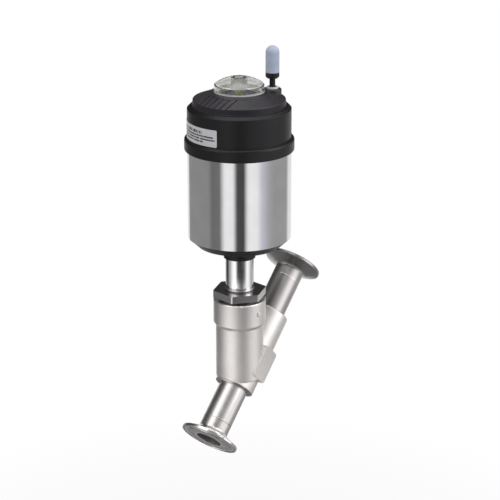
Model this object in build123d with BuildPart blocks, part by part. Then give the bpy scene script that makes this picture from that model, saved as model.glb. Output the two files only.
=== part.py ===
from build123d import *
import os
from math import cos, radians, sin, tan

os.makedirs("parts", exist_ok=True)

# Driving dimensions in millimetres and degrees: pipe ends
pipe_angle = 45.0
inlet_leg = 63.5
outlet_leg = 114.0
tube_od = 25.4
tube_wall = 1.6
tube_insert = 4.0
ferrule_od = 50.5
ferrule_length = 17.5
ferrule_edge = 2.85
ferrule_back_angle = 20.0
ferrule_edge_round = 0.8
ferrule_hub_fillet = 3.0
gasket_groove_d = 43.5
gasket_groove_radius = 1.6

# Driving dimensions: valve body
socket_od = 34.4
inlet_socket = 12.4
outlet_socket = 63.0
inlet_socket_chamfer = 0.3
outlet_socket_round = 1.5
barrel_d = 40.7
barrel_chamfer = 1.2
collar_d = 44.8
collar_height = 20.4
collar_taper = 3.0
collar_chamfer = 0.8
body_height = 71.4
floor_thickness = 2.5
under_seat_d = 26.0
under_seat_height = 7.0
seat_web = 3.0
seat_bore_d = 22.6
seat_lip_width = 1.1
seat_lip_height = 1.0
chamber_d = 33.0
passage_d = 23.2
bridge_wall = 2.6
inlet_overrun = 3.0
body_thread_d = 36.6
body_thread_depth = 15.4
pad_length = 29.0
pad_width = 19.5
pad_shift = 1.25
pad_reach = 20.6
pad_corner = 2.5
dot_d = 4.6
dot_raise = 0.9
dot_round = 0.5
dot_angle = 263.8
dot_height = 61.6

# Driving dimensions: bonnet, packing and neck
gasket_thickness = 1.5
bonnet_nose_length = 19.0
bonnet_nose_gap = 0.7
bonnet_lip = 5.5
hex_af = 40.5
hex_height = 6.2
hex_gap = 2.2
hex_turn = -40.5
hex_corner_d = 46.0
packing_bore_d = 18.0
support_ring_height = 2.5
disc_spring_thickness = 0.5
disc_spring_cone = 0.65
disc_spring_count = 6
pressure_ring_height = 2.0
v_ring_count = 5
v_ring_thickness = 1.5
v_depth = 0.9
gland_bush_height = 5.0
gland_nut_height = 5.0
gland_key_af = 12.0
gland_key_depth = 2.5
neck_seat_depth = 5.8
neck_od = 24.0
neck_wall = 2.0
neck_exposed = 28.7
neck_shoulder_height = 10.0
neck_step = 0.6
snap_ring_thickness = 1.2
snap_ring_depth = 1.0
snap_ring_width = 3.2
snap_ring_opening = 50.0

# Driving dimensions: lower cover and rod guide
hub_d = 27.0
hub_height = 12.0
cover_flat_d = 71.0
cover_slope_height = 7.2
cover_ledge_d = 86.4
spigot_height = 6.3
boss_height = 4.4
pocket_d = 30.0
pocket_depth = 9.2
neck_above_pocket = 2.1
guide_height = 6.9
guide_lip = 0.8
guide_bush_wall = 1.6
rod_seal_height = 2.4
rod_seal_width = 3.0
rod_seal_lip = 0.8
neck_seal_lift = 3.5
cover_seal_lift = 0.6
cover_hollow_inner_d = 39.0
cover_hollow_outer_d = 67.0
cover_hollow_depth = 12.0
cover_rib_count = 6
cover_rib_width = 3.0
o_ring_section = 2.6
o_ring_room = 0.6

# Driving dimensions: cylinder and housing
cylinder_od = 87.0
shell_wall = 1.0
shell_exposed = 75.6
shell_overlap = 3.7
piston_bore_d = 76.4
housing_od = 86.7
housing_height = 37.7
housing_shoulder = 2.5
bead_step = 2.55
bead_height = 11.0
bead_top_round = 2.4
bead_bottom_round = 1.3
port_height = 18.7
port_d = 8.6
port_depth = 9.0
port_boss_d = 16.0
port_floor = 1.5
duct_d = 2.4
duct_offset = 40.3

# Driving dimensions: top cover
cover_ledge_depth = 2.8
housing_rim_land = 0.5
cover_flange_gap = 0.5
cover_flange_edge = 3.2
cover_rim_step = 1.35
cover_rim_rise = 5.4
cover_waist_swell = 0.5
cover_waist_rise = 0.5
cover_rim_round = 0.6
cone_rise = 6.4
cone_top_margin = 0.8
ring_line_margin = 3.3
ring_line_rise = 4.8
ring_line_step = 0.4
cover_spigot_length = 7.2
cover_spigot_wall = 4.6
cover_seal_drop = 5.2
cover_floor_thickness = 3.0
dome_well_depth = 3.6
spring_seat_drop = 3.5
spring_seat_width = 10.0
vent_pocket_d = 10.0
groove_count = 6
groove_pitch = 5.4
groove_width = 1.3
groove_depth = 0.6
silencer_boss_d = 15.4
silencer_boss_gap = 0.3
silencer_boss_angle = -34.0
silencer_boss_round = 1.4

# Driving dimensions: dome, indicator and silencer
dome_d = 42.4
dome_height = 12.4
dome_foot_height = 1.6
dome_foot_step = 0.4
dome_side_height = 6.7
dome_shoulder = 1.3
dome_wall = 1.8
dome_spigot_d = 35.6
dome_spigot_wall = 1.2
dome_spigot_length = 3.0
lens_af = 11.4
lens_turn = -54.0
lens_bore_d = 7.4
lens_gap = 1.2
lens_roof = 1.5
dome_seal_section = 1.8
dome_seal_inner_d = 37.6
tip_d = 6.0
tip_height = 6.3
tip_above_floor = 3.9
tip_pin_d = 3.0
tip_pin_length = 4.0
tip_round = 0.8
silencer_thread_d = 5.0
silencer_thread_length = 5.0
silencer_vent_d = 2.6
silencer_washer_d = 10.1
silencer_washer_height = 1.3
silencer_stem_d = 4.9
silencer_stem_length = 7.3
silencer_foot_d = 6.4
silencer_foot_height = 0.9
silencer_d = 11.5
silencer_cup_height = 4.9
silencer_cup_slope = 1.3
silencer_cup_wall = 0.8
silencer_cup_depth = 3.4
silencer_height = 34.7
silencer_wall = 2.2

# Driving dimensions: stem, piston and plug
spindle_d = 10.0
rod_end_d = 8.0
indicator_rod_d = 5.0
seat_seal_height = 3.0
seat_seal_overlap = 1.2
seat_seal_recess = 1.4
plug_rim = 0.8
plug_chamfer = 0.5
plug_height = 5.5
plug_hub_d = 16.4
plug_hub_height = 5.0
plug_spindle_depth = 7.5
plug_pin_d = 2.5
plug_pin_length = 15.0
retainer_gap = 1.6
retainer_height = 2.5
retainer_stud_d = 8.0
retainer_stud_grip = 1.8
piston_gap = 1.6
piston_height = 12.0
piston_web = 6.0
piston_wall = 5.0
piston_hub_d = 24.0
piston_hub_height = 13.0
piston_seat_depth = 3.0
piston_edge = 1.5
piston_seal_height = 3.0
piston_seal_depth = 2.6
guide_ring_height = 2.8
guide_ring_depth = 1.5
ring_land = 2.6
piston_nut_af = 13.0
piston_nut_height = 6.5
rod_end_margin = 1.5
spring_wire_d = 5.2
spring_mean_d = 56.0
spring_turns = 6

# Driving dimensions: rating label
label_start = 118.0
label_end = 191.6
label_height = 14.4
label_lift = 0.7
label_thickness = 0.3
label_corner = 1.2

# Clearances: fixed pieces, running pieces, and open gaps
fit = 0.05
running = 0.06
ring_running = 0.08
open_gap = 0.3

# Frame: the origin is the centre of the inlet ferrule's face, and the spindle's axis is upright
outlet_direction = Vector(sin(radians(pipe_angle)), 0, cos(radians(pipe_angle)))
inlet_direction = outlet_direction * -1
crossing = outlet_direction * inlet_leg
sideways = Vector(0, 1, 0)
upward = Vector(0, 0, 1)
spindle_axis = Axis(crossing, upward)
inlet_axis = Axis(crossing, inlet_direction)
outlet_axis = Axis(crossing, outlet_direction)
inlet_section = Plane(origin=crossing, x_dir=sideways, z_dir=sideways.cross(inlet_direction))
outlet_section = Plane(origin=crossing, x_dir=sideways, z_dir=sideways.cross(outlet_direction))


def level(height):
    """A horizontal plane on the spindle's axis, at a height above the pipe crossing."""
    return Plane(origin=crossing + upward * height, x_dir=(1, 0, 0), z_dir=upward)


def radial(angle):
    """An upright plane through the spindle's axis: x is the radius, y the height above the crossing."""
    turn = radians(angle)
    return Plane(origin=crossing, x_dir=(cos(turn), sin(turn), 0), z_dir=(sin(turn), -cos(turn), 0))


def across(direction, distance):
    """A plane across a pipe leg, at a distance from the crossing, facing outward."""
    return Plane(origin=crossing + direction * distance, x_dir=sideways, z_dir=direction)


def turned(points, section=radial(0), axis=spindle_axis):
    """A solid of revolution from its outline in radius and height."""
    with BuildPart() as piece:
        with BuildSketch(section):
            with BuildLine():
                Polyline(*points, close=True)
            make_face()
        revolve(axis=axis)
    return piece.part


def sleeve(inner, outer, bottom, top):
    """A plain ring about the spindle's axis."""
    return turned([(inner, bottom), (outer, bottom), (outer, top), (inner, top)])


def o_ring(centre_radius, height, section_radius):
    """A round sealing ring about the spindle's axis."""
    with BuildPart() as ring:
        with BuildSketch(radial(0)):
            with Locations((centre_radius, height)):
                Circle(section_radius)
        revolve(axis=spindle_axis)
    return ring.part


# Radii that several pieces share
tube_radius = tube_od / 2
pipe_bore = tube_radius - tube_wall
ferrule_radius = ferrule_od / 2
spindle_radius = spindle_d / 2
neck_radius = neck_od / 2
shell_radius = cylinder_od / 2
liner_radius = shell_radius - shell_wall - fit
piston_bore = piston_bore_d / 2
housing_radius = housing_od / 2

# Heights above the pipe crossing, from the seat up to the dome
web_bottom = floor_thickness + under_seat_height
web_top = web_bottom + seat_web
seat_level = web_top + seat_lip_height
gasket_level = body_height - body_thread_depth
bonnet_shoulder = gasket_level + gasket_thickness
bonnet_bottom = bonnet_shoulder - bonnet_nose_length
hex_bottom = body_height + hex_gap
hex_top = hex_bottom + hex_height
neck_bottom = hex_top - neck_seat_depth
hub_bottom = hex_top + neck_exposed
cover_bottom = hub_bottom + hub_height
shell_bottom = cover_bottom + cover_slope_height
spigot_top = shell_bottom + spigot_height
boss_top = spigot_top + boss_height
pocket_floor = boss_top - pocket_depth
neck_top = pocket_floor + neck_above_pocket
bead_bottom = shell_bottom + shell_exposed
shell_top = bead_bottom + shell_overlap
bead_top = bead_bottom + bead_height
housing_top = bead_bottom + housing_height
cover_ledge = housing_top - cover_ledge_depth
rim_level = housing_top + cover_rim_rise
dome_seat = rim_level + cone_rise
dome_top = dome_seat + dome_height
piston_bottom = boss_top + piston_gap
piston_hub_top = piston_bottom + piston_hub_height
tip_top = dome_seat - dome_well_depth + tip_above_floor


def ferrule(section, axis, leg):
    """A clamp ferrule: flat face with a gasket groove, sloping back and a fillet into its hub."""
    back = leg - ferrule_edge
    slope = (ferrule_radius - tube_radius) * tan(radians(ferrule_back_angle))
    with BuildPart() as piece:
        with BuildSketch(section) as profile:
            with BuildLine():
                Polyline(
                    (pipe_bore, leg - ferrule_length),
                    (tube_radius, leg - ferrule_length),
                    (tube_radius, back - slope),
                    (ferrule_radius, back),
                    (ferrule_radius, leg),
                    (pipe_bore, leg),
                    close=True,
                )
            make_face()
            hub_corner = (tube_radius, back - slope)
            fillet(profile.vertices().sort_by_distance(hub_corner)[0], ferrule_hub_fillet)
            for height in (back, leg):
                rim_corner = (ferrule_radius, height)
                fillet(profile.vertices().sort_by_distance(rim_corner)[0], ferrule_edge_round)
            with Locations((gasket_groove_d / 2, leg)):
                Circle(gasket_groove_radius, mode=Mode.SUBTRACT)
        revolve(axis=axis)
    return piece.part


def pipe_tube(section, axis, socket, leg):
    """The plain tube between a socket and its ferrule."""
    start = socket - tube_insert
    stop = leg - ferrule_length
    outline = [(pipe_bore, start), (tube_radius, start), (tube_radius, stop), (pipe_bore, stop)]
    return turned(outline, section=section, axis=axis)


# Valve body
barrel_radius = barrel_d / 2
collar_radius = collar_d / 2
collar_bottom = body_height - collar_height
socket_radius = socket_od / 2
under_seat_radius = under_seat_d / 2
seat_bore = seat_bore_d / 2
chamber_radius = chamber_d / 2
passage_radius = passage_d / 2
body_thread_radius = body_thread_d / 2
bridge_start = (under_seat_radius + web_bottom) * sin(radians(pipe_angle)) + bridge_wall
pad_plane = Plane(origin=crossing, x_dir=outlet_direction, z_dir=(0, -1, 0))
dot_turn = radians(dot_angle)
dot_centre = crossing + upward * dot_height
dot_plane = Plane(origin=dot_centre, x_dir=upward, z_dir=(cos(dot_turn), sin(dot_turn), 0))
dot_tip = dot_centre + dot_plane.z_dir * (collar_radius + dot_raise)

# Cast valve body: barrel and collar, socket along the pipe, raised pad and foundry dot
with BuildPart() as valve_body:
    with BuildSketch(radial(0)):
        with BuildLine():
            Polyline(
                (0, 0),
                (barrel_radius - barrel_chamfer, 0),
                (barrel_radius, barrel_chamfer),
                (barrel_radius, collar_bottom - collar_taper),
                (collar_radius, collar_bottom),
                (collar_radius, body_height - collar_chamfer),
                (collar_radius - collar_chamfer, body_height),
                (0, body_height),
                close=True,
            )
        make_face()
    revolve(axis=spindle_axis)
    with BuildSketch(outlet_section) as socket_profile:
        with BuildLine():
            Polyline(
                (0, -inlet_socket),
                (socket_radius - inlet_socket_chamfer, -inlet_socket),
                (socket_radius, inlet_socket_chamfer - inlet_socket),
                (socket_radius, outlet_socket),
                (0, outlet_socket),
                close=True,
            )
        make_face()
        shoulder = (socket_radius, outlet_socket)
        fillet(socket_profile.vertices().sort_by_distance(shoulder)[0], outlet_socket_round)
    revolve(axis=outlet_axis)
    with BuildSketch(pad_plane):
        with Locations((pad_length / 2, pad_shift)):
            RectangleRounded(pad_length, pad_width, pad_corner)
    extrude(amount=pad_reach)
    with BuildSketch(dot_plane.offset(collar_radius - dot_raise)):
        Circle(dot_d / 2)
    extrude(amount=2 * dot_raise)
    fillet(valve_body.faces().sort_by_distance(dot_tip)[0].edges(), dot_round)
    with BuildSketch(radial(0)):
        with BuildLine():
            Polyline(
                (0, floor_thickness),
                (under_seat_radius, floor_thickness),
                (under_seat_radius, web_bottom),
                (seat_bore, web_bottom),
                (seat_bore, seat_level),
                (seat_bore + seat_lip_width, seat_level),
                (seat_bore + seat_lip_width + seat_lip_height / 2, web_top),
                (chamber_radius, web_top),
                (chamber_radius, gasket_level),
                (body_thread_radius, gasket_level),
                (body_thread_radius, body_height),
                (0, body_height),
                close=True,
            )
        make_face()
    revolve(axis=spindle_axis, mode=Mode.SUBTRACT)
    with BuildSketch(across(outlet_direction, inlet_overrun)):
        Circle(passage_radius)
    extrude(amount=-inlet_overrun - inlet_socket, mode=Mode.SUBTRACT)
    with BuildSketch(across(outlet_direction, bridge_start)):
        Circle(passage_radius)
    extrude(amount=outlet_socket - bridge_start, mode=Mode.SUBTRACT)
    for direction, socket in ((inlet_direction, inlet_socket), (outlet_direction, outlet_socket)):
        with BuildSketch(across(direction, socket - tube_insert)):
            Circle(tube_radius + fit)
        extrude(amount=barrel_radius, mode=Mode.SUBTRACT)
valve_body.part.label = "valve_body"
export_step(valve_body.part, "parts/valve_body.step")

# Pipe tubes and clamp ferrules
with BuildPart() as inlet_tube:
    add(pipe_tube(inlet_section, inlet_axis, inlet_socket, inlet_leg))
inlet_tube.part.label = "inlet_tube"
export_step(inlet_tube.part, "parts/inlet_tube.step")

with BuildPart() as inlet_ferrule:
    add(ferrule(inlet_section, inlet_axis, inlet_leg))
inlet_ferrule.part.label = "inlet_ferrule"
export_step(inlet_ferrule.part, "parts/inlet_ferrule.step")

with BuildPart() as outlet_tube:
    add(pipe_tube(outlet_section, outlet_axis, outlet_socket, outlet_leg))
outlet_tube.part.label = "outlet_tube"
export_step(outlet_tube.part, "parts/outlet_tube.step")

with BuildPart() as outlet_ferrule:
    add(ferrule(outlet_section, outlet_axis, outlet_leg))
outlet_ferrule.part.label = "outlet_ferrule"
export_step(outlet_ferrule.part, "parts/outlet_ferrule.step")

# Bonnet gasket
with BuildPart() as bonnet_gasket:
    add(sleeve(chamber_radius, body_thread_radius - fit, gasket_level, bonnet_shoulder))
bonnet_gasket.part.label = "bonnet_gasket"
export_step(bonnet_gasket.part, "parts/bonnet_gasket.step")

# Hexagon bonnet with its nose, packing chamber and neck seat
packing_radius = packing_bore_d / 2
guide_radius = spindle_radius + running
nose_radius = chamber_radius - bonnet_nose_gap
bonnet_thread_radius = body_thread_radius - fit
packing_bottom = bonnet_bottom + bonnet_lip
neck_inner = neck_radius - neck_wall

with BuildPart() as bonnet_nut:
    with BuildSketch(radial(0)):
        with BuildLine():
            Polyline(
                (guide_radius, bonnet_bottom),
                (nose_radius, bonnet_bottom),
                (nose_radius, bonnet_shoulder),
                (bonnet_thread_radius, bonnet_shoulder),
                (bonnet_thread_radius, hex_bottom),
                (guide_radius, hex_bottom),
                close=True,
            )
        make_face()
    revolve(axis=spindle_axis)
    with BuildSketch(level(hex_bottom)):
        RegularPolygon(hex_af / 2, 6, major_radius=False, rotation=hex_turn)
        Circle(hex_corner_d / 2, mode=Mode.INTERSECT)
        Circle(guide_radius, mode=Mode.SUBTRACT)
    extrude(amount=hex_height)
    with BuildSketch(level(packing_bottom)):
        Circle(packing_radius)
    extrude(amount=hex_top - packing_bottom, mode=Mode.SUBTRACT)
    with BuildSketch(level(neck_bottom)):
        Circle(neck_radius + fit)
    extrude(amount=neck_seat_depth, mode=Mode.SUBTRACT)
bonnet_nut.part.label = "bonnet_nut"
export_step(bonnet_nut.part, "parts/bonnet_nut.step")

# Spindle packing: support ring, disc springs, pressure ring, V rings, bush and nut
packing_outer = packing_radius - fit
packing_middle = (guide_radius + packing_outer) / 2
springs_bottom = packing_bottom + support_ring_height
disc_spring_pitch = disc_spring_thickness + disc_spring_cone + fit
pressure_ring_bottom = springs_bottom + disc_spring_count * disc_spring_pitch
v_rings_bottom = pressure_ring_bottom + pressure_ring_height
gland_bush_bottom = v_rings_bottom + v_ring_count * v_ring_thickness
gland_nut_bottom = gland_bush_bottom + gland_bush_height
spindle_clear = spindle_radius + open_gap

with BuildPart() as packing_support_ring:
    add(sleeve(spindle_clear, packing_outer, packing_bottom, springs_bottom))
packing_support_ring.part.label = "packing_support_ring"
export_step(packing_support_ring.part, "parts/packing_support_ring.step")

with BuildPart() as packing_disc_springs:
    for number in range(disc_spring_count):
        bottom = springs_bottom + number * disc_spring_pitch
        inner_lift = disc_spring_cone * (number % 2)
        outer_lift = disc_spring_cone - inner_lift
        add(
            turned(
                [
                    (spindle_clear, bottom + inner_lift),
                    (packing_outer, bottom + outer_lift),
                    (packing_outer, bottom + outer_lift + disc_spring_thickness),
                    (spindle_clear, bottom + inner_lift + disc_spring_thickness),
                ]
            )
        )
packing_disc_springs.part.label = "packing_disc_springs"
export_step(packing_disc_springs.part, "parts/packing_disc_springs.step")

with BuildPart() as packing_pressure_ring:
    add(
        turned(
            [
                (spindle_clear, pressure_ring_bottom),
                (packing_outer, pressure_ring_bottom),
                (packing_outer, v_rings_bottom),
                (packing_middle, v_rings_bottom + v_depth),
                (spindle_clear, v_rings_bottom),
            ]
        )
    )
packing_pressure_ring.part.label = "packing_pressure_ring"
export_step(packing_pressure_ring.part, "parts/packing_pressure_ring.step")

with BuildPart() as packing_v_rings:
    for number in range(v_ring_count):
        bottom = v_rings_bottom + number * v_ring_thickness
        top = bottom + v_ring_thickness - fit
        add(
            turned(
                [
                    (guide_radius, bottom),
                    (packing_middle, bottom + v_depth),
                    (packing_outer, bottom),
                    (packing_outer, top),
                    (packing_middle, top + v_depth),
                    (guide_radius, top),
                ]
            )
        )
packing_v_rings.part.label = "packing_v_rings"
export_step(packing_v_rings.part, "parts/packing_v_rings.step")

with BuildPart() as gland_bush:
    add(
        turned(
            [
                (guide_radius, gland_bush_bottom),
                (packing_middle, gland_bush_bottom + v_depth),
                (packing_outer, gland_bush_bottom),
                (packing_outer, gland_nut_bottom),
                (guide_radius, gland_nut_bottom),
            ]
        )
    )
gland_bush.part.label = "gland_bush"
export_step(gland_bush.part, "parts/gland_bush.step")

with BuildPart() as gland_nut:
    add(sleeve(spindle_clear, packing_outer, gland_nut_bottom, gland_nut_bottom + gland_nut_height))
    with BuildSketch(level(gland_nut_bottom + gland_nut_height)):
        RegularPolygon(gland_key_af / 2, 6, major_radius=False)
    extrude(amount=-gland_key_depth, mode=Mode.SUBTRACT)
gland_nut.part.label = "gland_nut"
export_step(gland_nut.part, "parts/gland_nut.step")

# Neck tube with its shoulder and ring groove, and the snap ring that keeps the actuator on it
neck_shoulder = hub_bottom + neck_shoulder_height
upper_neck_radius = neck_radius - neck_step
snap_ring_top = pocket_floor + snap_ring_thickness
snap_groove_radius = upper_neck_radius - snap_ring_depth

with BuildPart() as neck_tube:
    with BuildSketch(radial(0)):
        with BuildLine():
            Polyline(
                (neck_inner, neck_bottom),
                (neck_radius, neck_bottom),
                (neck_radius, neck_shoulder),
                (upper_neck_radius, neck_shoulder),
                (upper_neck_radius, pocket_floor),
                (snap_groove_radius, pocket_floor),
                (snap_groove_radius, snap_ring_top + fit),
                (upper_neck_radius, snap_ring_top + fit),
                (upper_neck_radius, neck_top),
                (neck_inner, neck_top),
                close=True,
            )
        make_face()
    revolve(axis=spindle_axis)
neck_tube.part.label = "neck_tube"
export_step(neck_tube.part, "parts/neck_tube.step")

with BuildPart() as neck_snap_ring:
    with BuildSketch(radial(snap_ring_opening / 2)):
        with BuildLine():
            Polyline(
                (snap_groove_radius + fit, pocket_floor),
                (snap_groove_radius + snap_ring_width, pocket_floor),
                (snap_groove_radius + snap_ring_width, snap_ring_top),
                (snap_groove_radius + fit, snap_ring_top),
                close=True,
            )
        make_face()
    revolve(axis=spindle_axis, revolution_arc=360 - snap_ring_opening)
neck_snap_ring.part.label = "neck_snap_ring"
export_step(neck_snap_ring.part, "parts/neck_snap_ring.step")

# Lower cover: turning hub on the neck, sloping shoulder, spigot, hollow with ribs and centre pocket
hub_radius = hub_d / 2
pocket_radius = pocket_d / 2
bush_radius = neck_radius + running
upper_bush_radius = upper_neck_radius + running
boss_radius = piston_bore - fit
o_ring_radius = o_ring_section / 2
groove_height = o_ring_section + o_ring_room
neck_groove_bottom = neck_shoulder + neck_seal_lift
boss_groove_bottom = spigot_top + cover_seal_lift
hollow_inner = cover_hollow_inner_d / 2
hollow_outer = cover_hollow_outer_d / 2

with BuildPart() as lower_cover:
    with BuildSketch(radial(0)):
        with BuildLine():
            Polyline(
                (bush_radius, hub_bottom),
                (hub_radius, hub_bottom),
                (hub_radius, cover_bottom),
                (cover_flat_d / 2, cover_bottom),
                (cover_ledge_d / 2, shell_bottom),
                (liner_radius, shell_bottom),
                (liner_radius, spigot_top),
                (boss_radius, spigot_top),
                (boss_radius, boss_groove_bottom),
                (boss_radius - o_ring_section, boss_groove_bottom),
                (boss_radius - o_ring_section, boss_groove_bottom + groove_height),
                (boss_radius, boss_groove_bottom + groove_height),
                (boss_radius, boss_top),
                (pocket_radius, boss_top),
                (pocket_radius, pocket_floor),
                (upper_bush_radius, pocket_floor),
                (upper_bush_radius, neck_groove_bottom + groove_height),
                (upper_bush_radius + o_ring_section + fit, neck_groove_bottom + groove_height),
                (upper_bush_radius + o_ring_section + fit, neck_groove_bottom),
                (upper_bush_radius, neck_groove_bottom),
                (upper_bush_radius, neck_shoulder),
                (bush_radius, neck_shoulder),
                close=True,
            )
        make_face()
    revolve(axis=spindle_axis)
    with BuildSketch(level(boss_top)):
        Circle(hollow_outer)
        Circle(hollow_inner, mode=Mode.SUBTRACT)
        with PolarLocations((hollow_inner + hollow_outer) / 2, cover_rib_count):
            Rectangle(hollow_outer - hollow_inner + 2, cover_rib_width, mode=Mode.SUBTRACT)
    extrude(amount=-cover_hollow_depth, mode=Mode.SUBTRACT)
lower_cover.part.label = "lower_cover"
export_step(lower_cover.part, "parts/lower_cover.step")

# Sealing rings of the lower cover
with BuildPart() as neck_seal:
    add(o_ring(upper_bush_radius + o_ring_radius, neck_groove_bottom + groove_height / 2, o_ring_radius))
neck_seal.part.label = "neck_seal"
export_step(neck_seal.part, "parts/neck_seal.step")

with BuildPart() as lower_cover_seal:
    add(o_ring(boss_radius - o_ring_radius + fit / 2, boss_groove_bottom + groove_height / 2, o_ring_radius))
lower_cover_seal.part.label = "lower_cover_seal"
export_step(lower_cover_seal.part, "parts/lower_cover_seal.step")

# Rod guide screwed into the cover's pocket, with its bush and lip seal
guide_bottom = boss_top - guide_height
guide_outer = pocket_radius - fit
guide_bush_outer = guide_radius + guide_bush_wall
rod_seal_outer = guide_radius + rod_seal_width
rod_seal_bottom = boss_top - rod_seal_height
guide_lip_top = guide_bottom + guide_lip

with BuildPart() as rod_guide:
    add(
        turned(
            [
                (spindle_clear, guide_bottom),
                (guide_outer, guide_bottom),
                (guide_outer, boss_top),
                (rod_seal_outer + fit, boss_top),
                (rod_seal_outer + fit, rod_seal_bottom),
                (guide_bush_outer + fit, rod_seal_bottom),
                (guide_bush_outer + fit, guide_lip_top),
                (spindle_clear, guide_lip_top),
            ]
        )
    )
rod_guide.part.label = "rod_guide"
export_step(rod_guide.part, "parts/rod_guide.step")

with BuildPart() as rod_bush:
    add(sleeve(guide_radius, guide_bush_outer, guide_lip_top, rod_seal_bottom))
rod_bush.part.label = "rod_bush"
export_step(rod_bush.part, "parts/rod_bush.step")

with BuildPart() as rod_seal:
    add(
        turned(
            [
                (guide_radius, rod_seal_bottom),
                (rod_seal_outer, rod_seal_bottom),
                (rod_seal_outer, boss_top),
                (guide_radius + rod_seal_lip, boss_top - rod_seal_lip),
                (guide_radius, boss_top),
            ]
        )
    )
rod_seal.part.label = "rod_seal"
export_step(rod_seal.part, "parts/rod_seal.step")

# Polished steel shell of the cylinder
with BuildPart() as cylinder_shell:
    add(sleeve(shell_radius - shell_wall, shell_radius, shell_bottom, shell_top))
cylinder_shell.part.label = "cylinder_shell"
export_step(cylinder_shell.part, "parts/cylinder_shell.step")

# Black housing: liner inside the shell, bead over its edge, upper drum, air port and duct
bead_radius = housing_radius + bead_step
cover_seat_radius = housing_radius - housing_shoulder - housing_rim_land
port_level = bead_bottom + port_height
port_plane = Plane(origin=crossing + upward * port_level, x_dir=sideways, z_dir=(1, 0, 0))
duct_bottom = boss_top + duct_d / 2

with BuildPart() as actuator_housing:
    with BuildSketch(radial(0)) as housing_profile:
        with BuildLine():
            Polyline(
                (piston_bore, spigot_top),
                (liner_radius, spigot_top),
                (liner_radius, shell_top + fit),
                (shell_radius + fit, shell_top + fit),
                (shell_radius + fit, bead_bottom),
                (bead_radius, bead_bottom),
                (bead_radius, bead_top),
                (housing_radius, bead_top),
                (housing_radius, housing_top - housing_shoulder),
                (housing_radius - housing_shoulder, housing_top),
                (cover_seat_radius, housing_top),
                (cover_seat_radius, cover_ledge),
                (piston_bore, cover_ledge),
                close=True,
            )
        make_face()
        bead_corner = (bead_radius, bead_top)
        fillet(housing_profile.vertices().sort_by_distance(bead_corner)[0], bead_top_round)
        bead_foot = (bead_radius, bead_bottom)
        fillet(housing_profile.vertices().sort_by_distance(bead_foot)[0], bead_bottom_round)
    revolve(axis=spindle_axis)
    with BuildSketch(port_plane.offset(housing_radius - port_depth - port_floor)):
        Circle(port_boss_d / 2)
    extrude(amount=piston_bore - housing_radius + port_depth + port_floor + open_gap)
    with BuildSketch(port_plane.offset(housing_radius)):
        Circle(port_d / 2)
    extrude(amount=-port_depth, mode=Mode.SUBTRACT)
    with BuildSketch(level(duct_bottom)):
        with Locations((duct_offset, 0)):
            Circle(duct_d / 2)
    extrude(amount=port_level - duct_bottom, mode=Mode.SUBTRACT)
    with BuildSketch(port_plane.offset(piston_bore - duct_d)):
        with Locations((0, duct_bottom - port_level)):
            Circle(duct_d / 2)
    extrude(amount=duct_offset - piston_bore + duct_d, mode=Mode.SUBTRACT)
actuator_housing.part.label = "actuator_housing"
export_step(actuator_housing.part, "parts/actuator_housing.step")

# Rating label on the drum
with BuildPart() as rating_label:
    with BuildSketch(radial(label_start)):
        with Locations((housing_radius + fit, bead_top + label_lift)):
            Rectangle(label_thickness, label_height, align=(Align.MIN, Align.MIN))
    revolve(axis=spindle_axis, revolution_arc=label_end - label_start)
    fillet(rating_label.edges().filter_by(lambda edge: edge.length < 2 * label_thickness), label_corner)
rating_label.part.label = "rating_label"
export_step(rating_label.part, "parts/rating_label.step")

# Top cover: waisted rim, sloping top with scored grooves, dome well, spring seat and silencer boss
flange_radius = cover_seat_radius - cover_flange_gap
rim_radius = flange_radius - cover_rim_step
waist_radius = rim_radius + cover_waist_swell
foot_radius = dome_d / 2
cone_top_radius = foot_radius + cone_top_margin
ring_radius = cone_top_radius + ring_line_margin
ring_level = rim_level + ring_line_rise
flange_top = cover_ledge + cover_flange_edge
spigot_radius = piston_bore - fit
spigot_inner = spigot_radius - cover_spigot_wall
spigot_bottom = cover_ledge - cover_spigot_length
spring_seat_outer = (spring_mean_d + spring_seat_width) / 2
spring_seat_inner = (spring_mean_d - spring_seat_width) / 2
spring_seat_level = rim_level - spring_seat_drop
dome_spigot_radius = dome_spigot_d / 2
dome_seal_inner = dome_seal_inner_d / 2
well_floor = dome_seat - dome_well_depth
tip_radius = tip_d / 2
cover_seal_groove = cover_ledge - cover_seal_drop
boss_turn = radians(silencer_boss_angle)
boss_offset = foot_radius + silencer_boss_gap + silencer_boss_d / 2
boss_centre = (boss_offset * cos(boss_turn), boss_offset * sin(boss_turn))
silencer_thread_radius = silencer_thread_d / 2

with BuildPart() as groove_strips:
    with BuildSketch(level(rim_level - groove_depth)):
        with GridLocations(groove_pitch, groove_pitch, 1, groove_count):
            Rectangle(housing_radius, groove_width, align=(Align.MAX, Align.CENTER))
    extrude(amount=cone_rise)
    with BuildSketch(radial(0)):
        with BuildLine():
            Polyline(
                (ring_radius, rim_level - groove_depth),
                (rim_radius, rim_level - groove_depth),
                (ring_radius, ring_level - groove_depth),
                close=True,
            )
        make_face()
        with Locations((0, rim_level - groove_depth)):
            Rectangle(ring_radius, cone_rise, align=Align.MIN)
    revolve(axis=spindle_axis, mode=Mode.SUBTRACT)

with BuildPart() as silencer_boss:
    with BuildSketch(level(rim_level)):
        with Locations(boss_centre):
            Circle(silencer_boss_d / 2)
    extrude(amount=cone_rise)
    fillet(silencer_boss.faces().sort_by(Axis.Z)[-1].edges(), silencer_boss_round)

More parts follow.
